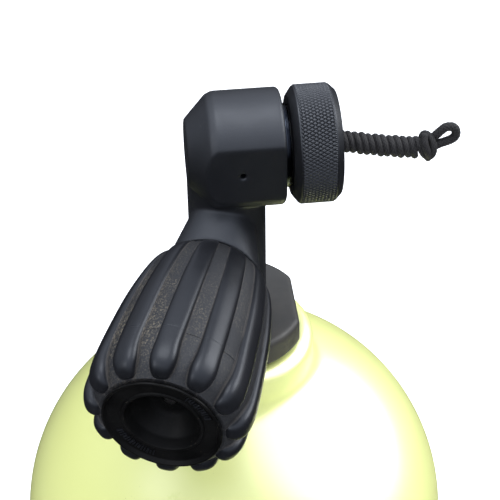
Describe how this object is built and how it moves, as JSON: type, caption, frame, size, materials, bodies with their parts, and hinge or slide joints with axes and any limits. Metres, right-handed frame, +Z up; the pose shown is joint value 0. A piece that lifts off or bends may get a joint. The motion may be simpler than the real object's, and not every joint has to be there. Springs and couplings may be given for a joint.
{
  "type": "scuba tank",
  "caption": "Upright dive cylinder with domed shoulder and flat base, single-outlet screw-down valve, lobed rubber handwheel and knurled outlet plug on a wound cord pull.",
  "frame": {"origin": "centre of the flat base, on the cylinder's axis", "axes": "+Z up the cylinder's axis, +X along the valve outlet, the handwheel points to -Y and a little to -X"},
  "size_m": [0.1709, 0.1798, 0.7457],
  "materials": {
    "lime_paint": "gloss fluorescent lime coating on aluminium",
    "black_valve_coat": "matte black coating on forged brass",
    "black_chrome": "polished black chrome",
    "bare_brass": "machined brass",
    "sintered_bronze": "sintered bronze",
    "seal_rubber": "smooth nitrile rubber",
    "ptfe": "white fluoropolymer",
    "black_nylon": "moulded black nylon",
    "grip_rubber": "moulded black rubber, dusty in the grooves",
    "stainless": "stainless steel",
    "black_anodised": "black anodised aluminium, fine diamond knurl",
    "black_cord": "braided black nylon cord"
  },
  "bodies": {
    "cylinder": {"cylinder_shell": "lime_paint", "neck_o_ring": "seal_rubber", "valve_body": "black_valve_coat", "outlet_ring": "black_chrome", "dip_tube": "bare_brass", "inlet_filter": "sintered_bronze", "bonnet_nut": "bare_brass", "bonnet_o_ring": "seal_rubber"},
    "handwheel": {"spindle": "bare_brass", "spindle_o_rings": "seal_rubber", "thrust_washer": "ptfe", "handwheel_hub": "black_nylon", "handwheel_grip": "grip_rubber", "front_dish": "grip_rubber", "knob_spring": "stainless", "knob_washer": "stainless", "knob_nut": "stainless"},
    "seat": {"seat_carrier": "bare_brass", "seat_insert": "ptfe"},
    "cord_pull": {"cord_stopper": "black_cord", "cord_wrap": "black_cord", "cord_knot": "black_cord", "cord_loop": "black_cord"},
    "cap": {"outlet_cap": "black_anodised", "cap_o_ring": "seal_rubber"}
  },
  "joints": [
    {"name": "handwheel_turn", "type": "hinge", "parent": "cylinder", "child": "handwheel", "pos_m": [0, 0, 0.6862], "axis": [-0.3288, -0.939, -0.1011], "range_deg": [0, 900]},
    {"name": "seat_travel", "type": "slide", "parent": "handwheel", "child": "seat", "axis": [-0.3288, -0.939, -0.1011], "range_m": [0, 0.00376]},
    {"name": "cap_travel", "type": "slide", "parent": "cylinder", "child": "cord_pull", "axis": [1, 0, 0], "range_m": [0, 0.00908]},
    {"name": "cap_turn", "type": "hinge", "parent": "cord_pull", "child": "cap", "pos_m": [0, 0, 0.7245], "axis": [1, 0, 0], "range_deg": [0, 1800]}
  ],
  "couplings": [
    {"joint": "seat_travel", "follows": "handwheel_turn", "m_per_rad": 0.00023873},
    {"joint": "cap_travel", "follows": "cap_turn", "m_per_rad": 0.00028871}
  ]
}
